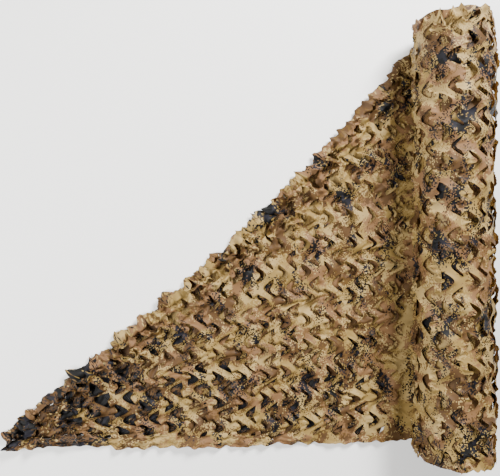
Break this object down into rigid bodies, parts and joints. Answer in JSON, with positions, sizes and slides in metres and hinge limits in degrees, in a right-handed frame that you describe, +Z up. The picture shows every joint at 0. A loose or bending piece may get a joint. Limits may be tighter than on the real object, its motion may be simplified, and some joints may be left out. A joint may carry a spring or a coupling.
{
  "type": "camouflage netting, part wound on its roll with the loose end laid out",
  "caption": "Leaf-cut camouflage net wound on a roll, its loose end drawn out flat and folded under along a diagonal into a pointed triangle, for screening and cover.",
  "frame": {"origin": "the middle of the roll's flat spot, on the surface that it rests on", "axes": "+Z up; +Y along the roll towards the end where the fold starts; +X from the loose end's tip towards the roll"},
  "size_m": [1.7501, 1.5405, 0.2631],
  "materials": {
    "netting_cloth": "woven polyester, printed in a tan pixel camouflage, matt"
  },
  "bodies": {
    "root": {"netting_roll": "netting_cloth", "netting_sheet": "netting_cloth"}
  },
  "joints": []
}
